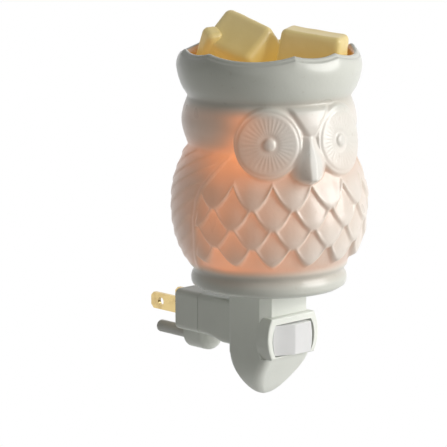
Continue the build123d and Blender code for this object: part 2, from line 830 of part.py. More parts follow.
# Rocker, drawn with its left half pressed in; its face is two flats that meet in a soft crest
with BuildPart() as switch_rocker:
    fall = rocker_width / 2 * tan(radians(rocker_face_tilt))
    with BuildSketch(rocker_level):
        with BuildLine():
            Polyline(
                (0, -rocker_pivot_depth),
                (rocker_width / 2, fall - rocker_pivot_depth),
                (rocker_width / 2, fall + rocker_edge - rocker_pivot_depth),
                (rocker_waist_width / 2, 0),
                (rocker_stem_width / 2, rocker_waist_rise),
                (-rocker_stem_width / 2, rocker_waist_rise),
                (-rocker_waist_width / 2, 0),
                (-rocker_width / 2, fall + rocker_edge - rocker_pivot_depth),
                (-rocker_width / 2, fall - rocker_pivot_depth),
                close=True,
            )
        make_face()
        fillet(vertices().sort_by(Axis.Y)[0], rocker_crest_round)
    extrude(amount=rocker_height / 2, both=True)
    with BuildSketch(rocker_front):
        barrel(rocker_width, rocker_end_width, rocker_height)
    extrude(amount=2 * rocker_pivot_depth, both=True, mode=Mode.INTERSECT)
    with BuildSketch(rocker_level):
        with Locations((0, rocker_stem_reach / 2)):
            Rectangle(rocker_stem_width, rocker_stem_reach)
    extrude(amount=rocker_stem_height / 2, both=True)
    with BuildSketch(rocker_level):
        Circle(rocker_pin_radius)
    extrude(amount=rocker_height / 2 + rocker_pin_length, both=True)
    with BuildSketch(rocker_front.offset(-rocker_stem_reach)):
        Circle(plunger_radius + pin_gap)
    extrude(amount=plunger_bore, mode=Mode.SUBTRACT)
save(switch_rocker, "switch_rocker")

# Plunger in the rocker's stem, and the spring behind it, drawn as a sleeve
with BuildPart() as switch_plunger:
    with BuildSketch(rocker_front.offset(-rocker_stem_reach - plunger_reach)):
        Circle(plunger_radius)
    extrude(amount=plunger_length)
    fillet(faces().sort_by(Axis(origin=(0, 0, 0), direction=rocker_out))[0].edges(), plunger_round)
save(switch_plunger, "switch_plunger")

with BuildPart() as switch_spring:
    with BuildSketch(rocker_front.offset(plunger_bore - rocker_stem_reach)):
        Circle(plunger_radius)
        Circle(plunger_radius - spring_wall, mode=Mode.SUBTRACT)
    extrude(amount=-spring_length)
save(switch_spring, "switch_spring")

# Contact bar, which tips over the middle terminal when the plunger slides along it
with BuildPart() as contact_bar:
    with BuildSketch(bar_plane):
        with Locations((0, -bar_thickness / 2)):
            Rectangle(bar_width, bar_thickness)
    extrude(amount=bar_height / 2, both=True)
save(contact_bar, "contact_bar")

# Open box behind the bezel that holds the terminals, with a rib where the bar rests when it is off
with BuildPart() as switch_frame:
    with BuildSketch(upright(frame_rear_y, switch_z)):
        Rectangle(frame_width, frame_height)
    extrude(amount=frame_depth)
    with BuildSketch(upright(frame_floor_y, switch_z)):
        Rectangle(frame_width - 2 * frame_wall, frame_height - 2 * frame_wall)
    extrude(amount=frame_depth, mode=Mode.SUBTRACT)
    with BuildSketch(upright(frame_floor_y, switch_z)):
        with Locations((-terminal_offset, 0)):
            Rectangle(terminal_pad, terminal_height)
    extrude(amount=frame_floor_y - pad_front_y)
    with BuildSketch(upright(frame_rear_y + overrun, switch_z)):
        with Locations((0, 0), (terminal_offset, 0)):
            Rectangle(terminal_thickness + snug_gap, terminal_height + snug_gap)
    extrude(amount=frame_wall + 2 * overrun, mode=Mode.SUBTRACT)
save(switch_frame, "switch_frame")

# Terminals: one under the bar's middle, one under its right end
with BuildPart() as switch_terminals:
    with BuildSketch(upright(terminal_end_y, switch_z)):
        Rectangle(fulcrum_thickness, terminal_height)
    extrude(amount=terminal_end_y - bar_pivot_y - pin_gap)
    with BuildSketch(upright(terminal_end_y, switch_z)):
        with Locations((terminal_offset, 0)):
            Rectangle(terminal_thickness, terminal_height)
    extrude(amount=terminal_end_y - pad_front_y)
    with BuildSketch(upright(pad_front_y + terminal_thickness, switch_z)):
        with Locations((terminal_offset, 0)):
            Rectangle(terminal_pad, terminal_height)
    extrude(amount=terminal_thickness)
save(switch_terminals, "switch_terminals")


def wire(*points):
    """Round wire through the points, with bends at the corners."""
    with BuildPart() as strand:
        with BuildLine() as path:
            FilletPolyline(*points, radius=wire_bend)
        with BuildSketch(Plane(origin=path.line @ 0, z_dir=path.line % 0)):
            Circle(wire_radius)
        sweep(path=path.line)
    return strand.part


# Wires: from the brushes to the switch and to the lamp holder, and from the switch to the holder
live_turn_y = brush_front_y - wire_rise_gap
with BuildPart() as live_wire:
    add(
        wire(
            (0, brush_front_y, brush_z),
            (0, live_turn_y, brush_z),
            (0, live_turn_y, switch_z),
            (0, terminal_end_y, switch_z),
        )
    )
save(live_wire, "live_wire")

neutral_turn_y = brush_front_y - wire_side_gap
with BuildPart() as neutral_wire:
    add(
        wire(
            (0, brush_front_y, -brush_z),
            (0, neutral_turn_y, -brush_z),
            (-terminal_offset, neutral_turn_y, -brush_z),
            (-terminal_offset, neutral_turn_y, wire_socket_z),
            (-terminal_offset, wire_socket_y, wire_socket_z),
        )
    )
save(neutral_wire, "neutral_wire")

lamp_turn_y = terminal_end_y + lamp_wire_gap
with BuildPart() as lamp_wire:
    add(
        wire(
            (terminal_offset, terminal_end_y, switch_z),
            (terminal_offset, lamp_turn_y, switch_z),
            (terminal_offset, lamp_turn_y, wire_socket_z),
            (terminal_offset, wire_socket_y, wire_socket_z),
        )
    )
save(lamp_wire, "lamp_wire")


def shade_skin(rise):
    """Solid inside the shade's outer surface, from foot to lip, swelled by the rise."""
    foot = foot_height
    neck = (neck_crease_radius + rise, foot + neck_crease_height)
    crease = (head_crease_radius + rise, foot + head_crease_height)
    lip = (lip_outer_radius + rise, foot + lip_height)
    with BuildPart() as skin:
        with BuildSketch(lamp_section):
            with BuildLine() as outline:
                Line((0, foot), (foot_bottom_radius + rise, foot))
                Spline(
                    (foot_bottom_radius + rise, foot),
                    (foot_radius + rise, foot + foot_bulge_height),
                    (pinch_radius + rise, foot + pinch_height),
                    (belly_low_radius + rise, foot + belly_low_height),
                    (belly_radius + rise, foot + belly_mid_height),
                    (belly_high_radius + rise, foot + belly_high_height),
                    neck,
                )
                Spline(neck, (brow_radius + rise, foot + brow_height), crease)
                Spline(crease, (band_radius + rise, foot + band_height), lip)
                Line(lip, (0, foot + lip_height))
                Line((0, foot + lip_height), (0, foot))
            make_face(outline.edges())
        revolve(axis=lamp_axis)
    return skin.part


def eye_skin(inset):
    """Solid inside the surface that the eye discs lie on."""
    low = foot_height + eye_height - eye_radius - overrun
    middle = foot_height + eye_height
    high = foot_height + eye_height + eye_radius + overrun
    with BuildPart() as skin:
        with BuildSketch(lamp_section):
            with BuildLine() as outline:
                Line((0, low), (eye_low_radius - inset, low))
                Spline(
                    (eye_low_radius - inset, low),
                    (eye_mid_radius - inset, middle),
                    (eye_high_radius - inset, high),
                )
                Line((eye_high_radius - inset, high), (0, high))
                Line((0, high), (0, low))
            make_face(outline.edges())
        revolve(axis=lamp_axis)
    return skin.part


def eye(side):
    """One eye: a disc with a sunk ring near its edge and a pupil."""
    facing = outward(side * eye_angle, eye_height, 0)
    ring_radius = eye_radius - eye_ring_width
    with BuildPart() as disc:
        with BuildSketch(facing):
            Circle(eye_radius)
            Circle(ring_radius, mode=Mode.SUBTRACT)
            Circle(ring_radius - eye_ring_width)
        extrude(amount=2 * eye_radius + eye_mid_radius)
        add(eye_skin(0), mode=Mode.INTERSECT)
    with BuildPart() as ring_floor:
        with BuildSketch(facing):
            Circle(ring_radius + overrun)
        extrude(amount=2 * eye_radius + eye_mid_radius)
        add(eye_skin(eye_ring_depth), mode=Mode.INTERSECT)
    with BuildPart() as pupil:
        with BuildSketch(facing):
            Circle(pupil_radius)
        extrude(amount=eye_mid_radius + pupil_rise)
        fillet(faces().sort_by(Axis(origin=(0, 0, 0), direction=facing.z_dir))[-1].edges(), pupil_rise)
    return [disc.part, ring_floor.part, pupil.part]


def wing(side):
    """A wing, raised a little from the body."""
    with BuildPart() as pad:
        with BuildSketch(outward(side * wing_angle, wing_height, 0)):
            Ellipse(wing_half_width, wing_half_height)
        extrude(amount=2 * belly_radius)
        add(shade_skin(wing_rise), mode=Mode.INTERSECT)
    return pad.part


def scallop(angle, span, depth):
    """Cutter for one dip in the lip: a cylinder on its side, pointing out."""
    half_chord = lip_outer_radius * sin(radians(span / 2))
    dip_radius = (half_chord**2 + depth**2) / (2 * depth)
    with BuildPart() as dip:
        with BuildSketch(outward(angle, lip_height - depth + dip_radius, 0)):
            Circle(dip_radius)
        extrude(amount=2 * band_radius)
    return dip.part


# Shade: the owl with the dish in its head, one piece of glazed ceramic
narrow_scallop_angle = 360 / scallop_pairs - wide_scallop_angle
facing = outward(0, 0, 0)
with BuildPart() as owl_shade:
    add(shade_skin(0))
    for side in (-1, 1):
        add(eye(side))
        add(wing(side))
    with BuildSketch(Plane(origin=(0, lamp_y, foot_height), x_dir=facing.z_dir, z_dir=-facing.x_dir)):
        with BuildLine():
            Polyline(
                (beak_root_radius, beak_top_height),
                (beak_tip_radius, beak_tip_height + beak_thickness / 2),
                (beak_tip_radius - beak_thickness / 2, beak_tip_height),
                (beak_root_radius, beak_tip_height + beak_thickness),
                close=True,
            )
        make_face()
    extrude(amount=beak_width / 2, both=True)
    for pair in range(scallop_pairs):
        turned = scallop_offset + pair * 360 / scallop_pairs
        add(scallop(turned, narrow_scallop_angle, narrow_scallop_depth), mode=Mode.SUBTRACT)
        middle = turned + 180 / scallop_pairs
        add(scallop(middle, wide_scallop_angle, wide_scallop_depth), mode=Mode.SUBTRACT)
    with BuildSketch(lamp_section):
        with BuildLine():
            Line((0, dish_floor_z), (dish_floor_radius, dish_floor_z))
            Spline(
                (dish_floor_radius, dish_floor_z),
                (dish_turn_radius, foot_height + dish_turn_height),
                (dish_wall_radius, foot_height + dish_wall_height),
                (lip_inner_radius, dish_cut_top),
            )
            Line((lip_inner_radius, dish_cut_top), (0, dish_cut_top))
            Line((0, dish_cut_top), (0, dish_floor_z))
        make_face()
    revolve(axis=lamp_axis, mode=Mode.SUBTRACT)
    with BuildSketch(lamp_section):
        with BuildLine():
            Polyline(
                (pinch_radius - shade_wall, foot_height + ledge_high),
                (0, foot_height + ledge_high),
                (0, foot_height + ceiling_height),
                (dish_floor_radius, foot_height + ceiling_height),
                (ceiling_rim_radius, foot_height + ceiling_rim_height),
            )
            Spline(
                (ceiling_rim_radius, foot_height + ceiling_rim_height),
                (brow_radius - shade_wall, foot_height + brow_height),
                (neck_crease_radius - shade_wall, foot_height + neck_crease_height),
                (belly_high_radius - shade_wall, foot_height + belly_high_height),
                (belly_radius - shade_wall, foot_height + belly_mid_height),
                (belly_low_radius - shade_wall, foot_height + belly_low_height),
                (pinch_radius - shade_wall, foot_height + ledge_high),
            )
        make_face()
    revolve(axis=lamp_axis, mode=Mode.SUBTRACT)
    with BuildSketch(level(foot_height - overrun)):
        Circle(foot_bore_radius)
    extrude(amount=ledge_low + overrun, mode=Mode.SUBTRACT)
    with BuildSketch(level(foot_height)):
        Circle(ledge_hole_radius)
    extrude(amount=ledge_high + overrun, mode=Mode.SUBTRACT)
save(owl_shade, "owl_shade")


def melt(size, place, angles):
    """A cast block of wax with drafted sides and soft edges, as it stands in the dish."""
    right, away, up = place
    lean, roll, yaw = angles
    middle = (
        right * heap_right[0] + away * heap_away[0],
        lamp_y + right * heap_right[1] + away * heap_away[1],
        dish_floor_z + up,
    )
    facing = Plane(origin=middle, x_dir=(*heap_right, 0), z_dir=(-heap_away[0], -heap_away[1], 0))
    leaned = Plane(facing.location * Location((0, 0, 0), (-lean, yaw, roll)))
    width, height, thickness = size
    drawn_in = 2 * thickness * tan(radians(melt_draft))
    with BuildPart() as block:
        with BuildSketch(leaned.offset(-thickness / 2)):
            RectangleRounded(width, height, melt_round)
        with BuildSketch(leaned.offset(thickness / 2)):
            RectangleRounded(width - drawn_in, height - drawn_in, melt_round)
        loft()
        fillet(faces().filter_by(GeomType.PLANE).sort_by(SortBy.AREA)[-1].edges(), melt_round / 2)
    return block.part


# Wax melts heaped in the dish; the slab has sunk a little over the lip
with BuildPart() as wax_melt_tall:
    add(melt(tall_melt_size, tall_melt_place, tall_melt_angles))
save(wax_melt_tall, "wax_melt_tall")

with BuildPart() as wax_melt_slab:
    add(melt(slab_melt_size, slab_melt_place, slab_melt_angles))
    with BuildSketch(level(foot_height + lip_height + moving_gap)):
        Circle(band_radius + overrun)
        Circle(lip_inner_radius - moving_gap, mode=Mode.SUBTRACT)
    extrude(amount=-shade_wall, mode=Mode.SUBTRACT)
save(wax_melt_slab, "wax_melt_slab")

with BuildPart() as wax_melt_small:
    add(melt(small_melt_size, small_melt_place, small_melt_angles))
save(wax_melt_small, "wax_melt_small")

with BuildPart() as wax_melt_back:
    add(melt(back_melt_size, back_melt_place, back_melt_angles))
save(wax_melt_back, "wax_melt_back")

low_melt_up = moving_gap + low_melt_size[2] / 2
with BuildPart() as wax_melt_low_left:
    add(melt(low_melt_size, (-low_melt_spacing / 2, 0, low_melt_up), low_melt_angles))
save(wax_melt_low_left, "wax_melt_low_left")

with BuildPart() as wax_melt_low_right:
    add(melt(low_melt_size, (low_melt_spacing / 2, 0, low_melt_up), low_melt_angles))
save(wax_melt_low_right, "wax_melt_low_right")
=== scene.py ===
# A plug-in wax warmer: a glazed owl with a dish of wax in its head, over a lamp on a white base
import json

import bpy
import numpy as np
from mathutils import Matrix, Vector


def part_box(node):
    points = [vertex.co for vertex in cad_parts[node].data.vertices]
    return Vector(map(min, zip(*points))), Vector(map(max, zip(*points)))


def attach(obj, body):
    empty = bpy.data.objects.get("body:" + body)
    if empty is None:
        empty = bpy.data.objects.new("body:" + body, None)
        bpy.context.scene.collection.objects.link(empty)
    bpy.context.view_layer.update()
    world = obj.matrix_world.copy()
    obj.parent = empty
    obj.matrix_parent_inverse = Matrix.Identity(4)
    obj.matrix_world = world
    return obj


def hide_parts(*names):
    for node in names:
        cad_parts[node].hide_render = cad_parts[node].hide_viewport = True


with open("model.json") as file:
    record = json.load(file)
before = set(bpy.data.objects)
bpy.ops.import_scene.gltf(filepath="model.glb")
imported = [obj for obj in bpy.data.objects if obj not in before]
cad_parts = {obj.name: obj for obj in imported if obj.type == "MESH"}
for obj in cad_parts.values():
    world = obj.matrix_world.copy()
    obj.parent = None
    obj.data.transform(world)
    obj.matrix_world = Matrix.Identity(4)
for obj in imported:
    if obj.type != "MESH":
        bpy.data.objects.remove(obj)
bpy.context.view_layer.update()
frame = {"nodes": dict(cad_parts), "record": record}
nodes = frame["nodes"]
scene = bpy.context.scene
mm = 0.001

seatLow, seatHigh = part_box("seat_plate")
lampX = (seatLow[0] + seatHigh[0]) / 2 / mm  # the lamp's axis, in millimetres
lampY = (seatLow[1] + seatHigh[1]) / 2 / mm
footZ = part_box("owl_shade")[0][2] / mm
print("frame loaded, lamp axis at", round(lampX, 2), round(lampY, 2))


# Small helpers for shapes

def easeStep(value, low, high):
    # 0 below low, 1 above high, and a cubic ease between them
    part = np.clip((value - low) / (high - low), 0, 1)
    return part * part * (3 - 2 * part)


def softMax(first, second, soft):
    # the larger of the two, rounded over a width of soft where they cross
    return 0.5 * (first + second + np.sqrt((first - second) ** 2 + soft * soft))


def smoothCurve(points, at):
    # cubic through the points; the slope at each comes from its two neighbours
    x, y = np.array(points, float).T
    slope = np.gradient(y, x)
    part = np.clip(np.searchsorted(x, at) - 1, 0, len(x) - 2)
    step = x[part + 1] - x[part]
    t = np.clip((at - x[part]) / step, 0, 1)
    low = y[part] * (1 + 2 * t) * (1 - t) ** 2 + slope[part] * step * t * (1 - t) ** 2
    high = y[part + 1] * t * t * (3 - 2 * t) + slope[part + 1] * step * t * t * (t - 1)
    return low + high


def gridFaces(rows, columns):
    # quads of a grid that closes on itself along its columns
    row, column = np.meshgrid(np.arange(rows - 1), np.arange(columns), indexing="ij")
    after = (column + 1) % columns
    here, below = row * columns, (row + 1) * columns
    return np.stack((here + column, here + after, below + after, below + column), -1).reshape(-1, 4)


def makeMesh(name, points, faces, values=None):
    # points in millimetres, faces as an array of quads or a list, values as one number per point
    mesh = bpy.data.meshes.new(name)
    places = (np.asarray(points) * mm).tolist()
    mesh.from_pydata(places, [], [list(map(int, face)) for face in faces])
    for key, numbers in (values or {}).items():
        layer = mesh.attributes.new(key, "FLOAT", "POINT")
        layer.data.foreach_set("value", np.asarray(numbers, np.float32).ravel())
    mesh.polygons.foreach_set("use_smooth", np.ones(len(mesh.polygons), bool))
    mesh.update()
    thing = bpy.data.objects.new(name, mesh)
    scene.collection.objects.link(thing)
    return thing


# Materials: a socket that takes plain arithmetic, and one method for every other node

class Value:
    def __init__(self, finish, socket):
        self.finish = finish
        self.socket = socket

    def join(self, operation, *others):
        return self.finish.node("ShaderNodeMath", {"operation": operation}, (self, *others))

    def __add__(self, other):
        return self.join("ADD", other)

    def __sub__(self, other):
        return self.join("SUBTRACT", other)

    def __mul__(self, other):
        return self.join("MULTIPLY", other)

    def __rsub__(self, other):
        return self.finish.node("ShaderNodeMath", {"operation": "SUBTRACT"}, (other, self))

    __radd__ = __add__
    __rmul__ = __mul__

    def ease(self, low, high):
        sockets = {"Value": self, "From Min": low, "From Max": high}
        return self.finish.node("ShaderNodeMapRange", {"interpolation_type": "SMOOTHSTEP"}, sockets)


class Finish:
    def __init__(self, name, color, roughness, **fixed):
        self.material = bpy.data.materials.new(name)
        self.material.use_nodes = True
        self.tree = self.material.node_tree
        self.shader = self.tree.nodes["Principled BSDF"]
        self.set("Base Color", (*color, 1))
        self.set("Roughness", roughness)
        for key, value in fixed.items():
            self.set(key, value)

    def link(self, socket, value):
        if isinstance(value, Value):
            self.tree.links.new(value.socket, socket)
        else:
            socket.default_value = value

    def set(self, key, value):
        self.link(self.shader.inputs[key], value)

    def node(self, kind, settings=None, sockets=(), out=0):
        made = self.tree.nodes.new(kind)
        for key, value in (settings or {}).items():
            if key == "stops":
                while len(made.color_ramp.elements) < len(value):
                    made.color_ramp.elements.new(0.5)
                for element, (place, color) in zip(made.color_ramp.elements, value):
                    element.position = place
                    element.color = (*color, 1)
            else:
                setattr(made, key, value)
        pairs = sockets.items() if isinstance(sockets, dict) else enumerate(sockets)
        for key, value in pairs:
            self.link(made.inputs[key], value)
        return Value(self, made.outputs[out])

    def place(self):
        return self.node("ShaderNodeTexCoord", out="Object")

    def axis(self, name):
        return self.node("ShaderNodeSeparateXYZ", {}, (self.place(),), out=name)

    def painted(self, name):
        return self.node("ShaderNodeAttribute", {"attribute_name": name}, out="Fac")

    def noise(self, scale, detail=3.0, stretch=None):
        where = self.place()
        if stretch:
            where = self.node("ShaderNodeVectorMath", {"operation": "MULTIPLY"}, (where, stretch))
        sockets = {"Vector": where, "Scale": scale, "Detail": detail}
        return self.node("ShaderNodeTexNoise", {}, sockets)

    def mix(self, amount, first, second, blend="MIX"):
        settings = {"data_type": "RGBA", "blend_type": blend}
        return self.node("ShaderNodeMix", settings, {0: amount, 6: first, 7: second}, out=2)

    def ramp(self, value, stops):
        return self.node("ShaderNodeValToRGB", {"stops": stops}, (value,))

    def bump(self, height, depth):
        sockets = {"Strength": 1.0, "Distance": depth, "Height": height}
        self.set("Normal", self.node("ShaderNodeBump", {}, sockets))


# Owl shade: one closed surface, from the middle of the dish over the lip, down the outside and
# up the inside. Heights are above its foot, and angles are from its face, all in mm and degrees.

owl = {
    "faceTurn": 18.5,  # degrees that the face is turned from the switch
    "frontReach": 100.0,  # degrees each side of the face that are finely divided
    "frontColumns": 400,
    "backColumns": 56,
    "rowsPerStretch": ((88.2, 72.0, 22), (72.0, 42.0, 84), (42.0, 8.0, 66), (8.0, 0.5, 12)),
    "outline": (  # height and radius
        (0.0, 27.6), (1.0, 28.6), (2.8, 29.1), (4.6, 28.9), (6.1, 28.1), (7.2, 28.3),
        (8.4, 29.2), (10.0, 30.2), (12.8, 31.9), (15.8, 33.3), (18.9, 34.4), (21.9, 35.1),
        (26.5, 35.8), (33.0, 35.9), (38.6, 35.4), (41.6, 34.7), (44.6, 33.7), (47.6, 32.4),
        (50.8, 31.2), (53.3, 29.9), (55.0, 30.6), (57.1, 31.4), (62.6, 32.5), (67.0, 31.8),
        (70.0, 30.8), (71.6, 30.3), (73.0, 31.1), (75.0, 32.3), (77.5, 33.3), (80.5, 34.05),
        (83.9, 34.35), (86.5, 34.0), (88.2, 33.4), (89.6, 32.4),
    ),
    "hull": (  # height and radius round it all; the further under it, the thinner the wall
        (0.0, 29.5), (10.0, 31.6), (20.0, 35.4), (31.0, 36.9), (43.0, 35.4), (53.0, 34.0),
        (62.0, 33.4), (71.6, 32.6), (89.6, 32.6),
    ),
    "dish": (  # radius and height, from the middle to under the lip
        (0.0, 66.2), (10.0, 66.2), (19.0, 66.3), (23.0, 67.6), (26.4, 71.4), (28.8, 77.0),
        (30.2, 83.0), (30.5, 86.5),
    ),
    "lipInner": 30.5,
    "lipOuter": 33.3,
    "lipTop": 89.5,
    "lipRoot": 87.6,  # height from which the lip is rounded
    "lipSteps": 11,
    "dishEnd": 6,  # rings under the lip's top that are bare of wax
    "underside": (  # radius and height, from the foot's outer edge up to the roof over the lamp
        (27.0, 0.0), (25.2, 0.0), (24.2, 0.3), (24.0, 0.9), (24.0, 3.0), (23.6, 3.1),
        (19.6, 3.1), (19.2, 3.5), (19.2, 6.1), (19.6, 6.5), (24.2, 6.5), (25.4, 7.2),
        (27.4, 10.0), (30.0, 15.4), (32.4, 22.0), (33.1, 31.0), (32.6, 38.0), (30.8, 44.0),
        (28.4, 49.0), (26.6, 53.0), (27.6, 57.0), (29.0, 62.0), (28.6, 66.0), (27.6, 68.4),
        (24.0, 65.6), (19.0, 62.8), (10.0, 62.6),
    ),
}

scallops = {
    "pairs": 4,
    "shift": 6.0,  # degrees from the face to the middle of a narrow one
    "narrowHalf": 15.7,
    "wideHalf": 29.3,
    "narrowDepth": 1.25,
    "wideDepth": 2.2,
    "fade": 79.0,  # height under which the band keeps level
}

plumage = {
    "pitch": 24.0,  # degrees from feather to feather
    # height of the tips, and shift in pitches
    "rows": ((12.4, 0.0), (19.0, 0.5), (26.0, 0.0), (33.4, 0.5)),
    "reach": 8.8,  # from a tip up to the notch between two feathers
    "rise": 2.2,
    "length": 14.0,
    "edgePower": 1.75,  # how round a feather's lower edge is
    "crown": 0.6,  # how much a feather's middle stands out
}

wings = {
    "edge": (  # height, and angle of the front edge
        (0.0, 92.0), (10.0, 82.0), (20.0, 74.0), (30.0, 72.0), (40.0, 68.0), (48.0, 59.0), (54.0, 50.0),
    ),
    "rise": 0.9,
    "quill": 6.4,  # width of a long feather
    "slope": 0.62,
    "low": 10.0,
    "high": 51.0,
}

eyes = {
    "angle": 27.0,
    "height": 57.8,
    "radius": 13.3,
    "surface": (  # height, and radius of the plane that a disc stands on
        (40.0, 35.0), (44.4, 34.9), (50.0, 34.75), (57.8, 34.2), (65.0, 33.0), (71.2, 31.9), (75.0, 31.0),
    ),
    "middleRadius": 34.2,
    "ringRadius": 11.5,
    "ringDepth": 0.34,
    "rays": 32,
    "rayDepth": 0.05,
    "pupil": 2.3,
    "pupilRise": 0.8,
    "pupilTurn": (1.0, -2.6),  # degrees that each pupil stands off the middle of its disc
}

beak = {"top": 60.5, "tip": 42.0, "rise": 7.2, "width": 7.4, "root": 33.2, "lean": -1.5}
forehead = {"middle": 2.0, "low": 57.0, "high": 71.0, "half": 15.5, "rise": 1.1}

# painted glow of the lamp through the wall: strongest left of the face, weaker on the head except beside
# the eye, and a little weaker on the eye discs
paintedLamplight = {
    "middle": -42.0,  # angle from the face where the painted lamp glow is strongest
    "spread": 46.0,
    "least": 0.36,  # share of the painted glow that is left on the far side
    "headSpread": 15.0,
    "headLeast": 0.42,
    "discLoss": 0.05,
}


def lipDip(turn):
    # each scallop is a shallow bowl; narrow and wide ones take turns round the lip
    pitch = 360 / scallops["pairs"]
    narrow = (turn - scallops["shift"] + pitch / 2) % pitch - pitch / 2
    wide = (turn - scallops["shift"]) % pitch - pitch / 2
    dips = []
    for across, half, depth in (
        (narrow, scallops["narrowHalf"], scallops["narrowDepth"]),
        (wide, scallops["wideHalf"], scallops["wideDepth"]),
    ):
        dips.append(depth * np.clip(1 - (across / half) ** 2, 0, None) ** 0.85)
    return softMax(*dips, 0.25) - 0.1


def featherRelief(turn, height):
    # a feather's lower edge rises from its tip on both sides; the feather thins from there to its root
    relief = np.zeros_like(turn)
    for tip, shift in plumage["rows"]:
        across = (turn / plumage["pitch"] + shift + 0.5) % 1 - 0.5
        above = height - tip - plumage["reach"] * np.abs(2 * across) ** plumage["edgePower"]
        body = plumage["rise"] * np.clip(1 - above / plumage["length"], 0, 1)
        crown = plumage["crown"] * (np.cos(2 * np.pi * across) - 0.4) * easeStep(above, 0.0, 3.0)
        inside = easeStep(above, -0.9, 1.3)
        relief = relief * (1 - inside) + (body + crown) * inside
    return relief - plumage["rise"] * 0.5


def wingRelief(turn, height, radius):
    # a pad behind a curved front edge, with long feathers that slant down and back across it
    side = np.abs(turn)
    behind = np.radians(side - smoothCurve(wings["edge"], height)) * radius
    inside = easeStep(behind, -0.6, 0.7)
    quill = (height + wings["slope"] * behind) / wings["quill"]
    step = quill % 1
    long = 0.42 * (1 - step) * easeStep(step, 0.0, 0.14) * easeStep(behind, 2.2, 4.0)
    rim = 0.35 * np.exp(-(((behind - 1.2) / 1.1) ** 2))
    upright = easeStep(height, wings["low"] - 4, wings["low"])
    upright = upright * (1 - easeStep(height, wings["high"], wings["high"] + 5))
    back = 1 - easeStep(side, 150, 166)
    return inside * upright * back, (wings["rise"] * 0.6 + long + rim - 0.5)


def eyeDisc(turn, height, side):
    # a disc on its own plane: rim, sunk ring, shallow dish with fine rays, and a domed pupil
    across = eyes["middleRadius"] * np.sin(np.radians(turn - side * eyes["angle"]))
    front = np.cos(np.radians(turn - side * eyes["angle"])) > 0.3
    up = height - eyes["height"]
    out = np.sqrt(across**2 + up**2)
    shift = eyes["middleRadius"] * np.sin(np.radians(eyes["pupilTurn"][0 if side < 0 else 1]))
    pupilOut = np.sqrt((across - shift) ** 2 + up**2)
    around = np.arctan2(up, across - shift)
    ring = eyes["ringDepth"] * np.exp(-(((out - eyes["ringRadius"]) / 0.62) ** 2))
    dish = 0.55 * (1 - (out / eyes["ringRadius"]) ** 2) * (out < eyes["ringRadius"])
    strength = easeStep(pupilOut, 2.6, 4.2) * (1 - easeStep(out, 8.4, 10.6))
    rays = eyes["rayDepth"] * np.cos(eyes["rays"] * around) * strength
    pupil = eyes["pupilRise"] * np.sqrt(np.clip(1 - (pupilOut / eyes["pupil"]) ** 2, 0, 1))
    moat = 0.22 * np.exp(-(((pupilOut - eyes["pupil"] - 0.7) / 1.0) ** 2))
    surface = smoothCurve(eyes["surface"], height) - ring - dish + rays + pupil - moat
    mask = easeStep(eyes["radius"] - out, -0.6, 1.2) * front
    edge = easeStep(eyes["radius"] - out, 0.0, 2.2)
    return mask, surface - 0.5 * (1 - edge)


def owlRadius(turn, height):
    # the turned outline, with feathers, wings, forehead, eye discs and beak laid on it in turn
    base = smoothCurve(owl["outline"], height)
    belly = easeStep(height, 8.0, 11.0) * (1 - easeStep(height, 41.0, 46.0))
    radius = base + belly * (featherRelief(turn, height) + 0.2)
    wingMask, wing = wingRelief(turn, height, base)
    radius = radius * (1 - wingMask) + (base + wing + 0.35) * wingMask
    up = (height - forehead["low"]) / (forehead["high"] - forehead["low"])
    half = forehead["half"] * np.clip(up, 0, 1)
    brow = easeStep(half - np.abs(turn - forehead["middle"]), -2.0, 3.0)
    brow = brow * (1 - easeStep(height, 69.0, 71.6))
    brow = brow * easeStep(height, forehead["low"] - 1, forehead["low"] + 3)
    radius = radius + forehead["rise"] * brow
    for side in (-1, 1):
        mask, disc = eyeDisc(turn, height, side)
        radius = radius * (1 - mask) + disc * mask
    along = np.clip((beak["top"] - height) / (beak["top"] - beak["tip"]), 0, 1)
    middle = beak["lean"] * along
    across = np.radians(turn - middle) * beak["root"]
    width = beak["width"] * (0.34 + 0.66 * easeStep(along, 0.0, 0.55))
    width = width * np.sqrt(np.clip(1 - along**5, 0.004, 1))
    ridge = 1 - np.sqrt((across / width) ** 2 + 0.03) + np.sqrt(0.03)
    profile = beak["rise"] * along**0.8 * (1 - easeStep(along, 0.8, 1.02))
    inFront = (np.abs(turn) < 30) & (height > beak["tip"]) & (height < beak["top"]) & (ridge > -0.4)
    raised = beak["root"] - 0.6 + (profile + 0.6) * np.clip(ridge * 1.06, -0.4, 1)
    return np.where(inFront, softMax(radius, raised, 0.35), radius)


def shadeOutside():
    # grid of the outside: columns are angles, rows are heights from the lip down to the foot
    reach = owl["frontReach"]
    front = np.linspace(-reach, reach, owl["frontColumns"], endpoint=False)
    back = np.linspace(reach, 360 - reach, owl["backColumns"], endpoint=False)
    turns = np.concatenate([front, back])
    stretches = owl["rowsPerStretch"]
    heights = [np.linspace(high, low, rows, endpoint=False) for high, low, rows in stretches]
    heights = np.concatenate(heights)
    turn, height = np.meshgrid(np.where(turns > 180, turns - 360, turns), heights)
    radius = owlRadius(turn, height)
    return turns, turn, height, radius


